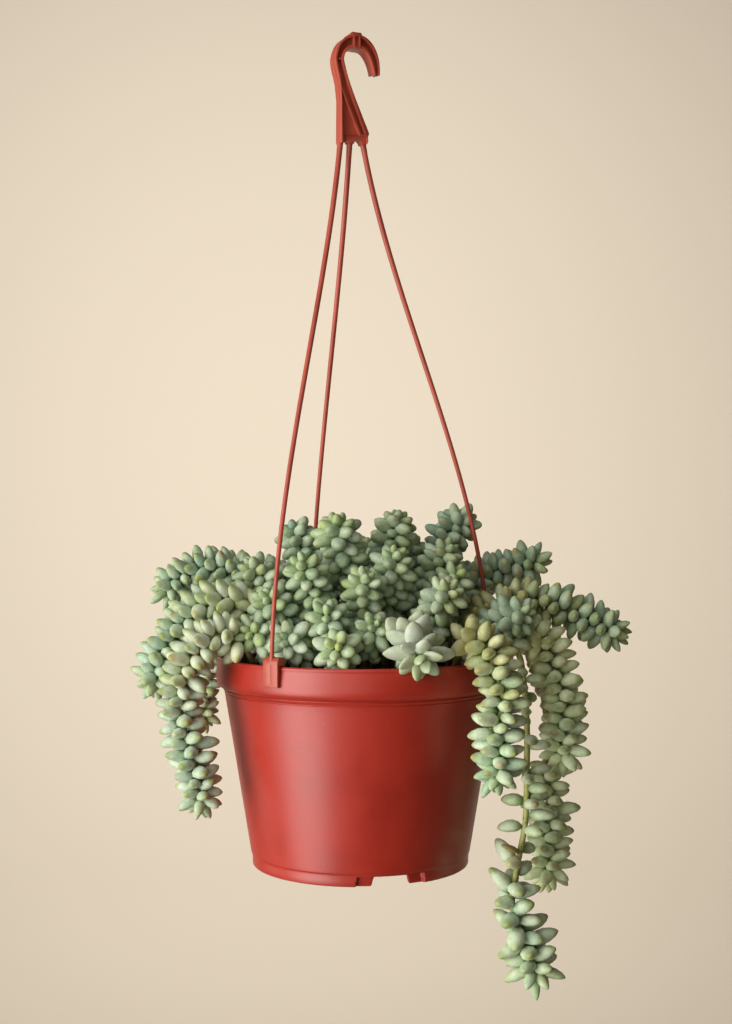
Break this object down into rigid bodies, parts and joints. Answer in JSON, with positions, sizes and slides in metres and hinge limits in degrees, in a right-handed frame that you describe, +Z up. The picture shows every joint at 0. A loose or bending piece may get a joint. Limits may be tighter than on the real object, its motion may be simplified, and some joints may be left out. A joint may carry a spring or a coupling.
{
  "type": "potted burro's tail plant",
  "caption": "Trailing succulent with plump overlapping leaves in a tapered plastic pot, hung by a moulded hook with thin strands clipped over the rim.",
  "frame": {"origin": "the saddle of the hook, where the hook rests on what it hangs from", "axes": "+Z up along the hanging line, +X to the right and -Y towards the viewer in the front view"},
  "size_m": [0.3304, 0.2439, 0.6591],
  "materials": {
    "pot_plastic": "satin",
    "hanger_plastic": "satin",
    "potting_mix": "matte",
    "leaf_glaucous": "matte",
    "leaf_young": "matte",
    "leaf_pale": "matte"
  },
  "bodies": {
    "root": {"pot": "pot_plastic", "soil": "potting_mix", "hanger": "hanger_plastic", "crown_centre_tall": "leaf_young", "crown_right_tall": "leaf_glaucous", "crown_left_tall": "leaf_glaucous", "crown_left_shoulder": "leaf_glaucous", "crown_left_inner": "leaf_young", "crown_centre": "leaf_young", "crown_right_inner": "leaf_young", "crown_front_left": "leaf_young", "crown_front_centre": "leaf_young", "crown_right_front": "leaf_glaucous", "crown_rim_centre": "leaf_young", "crown_rim_left": "leaf_glaucous", "crown_rim_far_left": "leaf_young", "crown_left_middle": "leaf_young", "crown_right_back": "leaf_glaucous", "crown_right_middle": "leaf_young", "crown_right_behind": "leaf_glaucous", "crown_right_over_rim": "leaf_glaucous", "crown_rim_pale": "leaf_pale", "crown_middle_back": "leaf_glaucous", "crown_back_left": "leaf_glaucous", "crown_back_right": "leaf_glaucous", "crown_side_left": "leaf_glaucous", "crown_back_low": "leaf_glaucous", "crown_back_far_left": "leaf_glaucous", "crown_back_low_right": "leaf_glaucous", "crown_side_far_left": "leaf_glaucous", "crown_side_right": "leaf_glaucous", "arch_left": "leaf_glaucous", "arch_lower_left": "leaf_pale", "arch_right_behind": "leaf_glaucous", "arch_right": "leaf_glaucous", "arch_back_left": "leaf_glaucous", "arch_back_right": "leaf_glaucous", "trail_left": "leaf_pale", "trail_front_right": "leaf_pale", "trail_right": "leaf_glaucous", "trail_right_long": "leaf_glaucous", "trail_right_behind": "leaf_glaucous", "trail_back_right": "leaf_glaucous", "trail_back": "leaf_glaucous", "trail_back_left": "leaf_glaucous"}
  },
  "joints": []
}
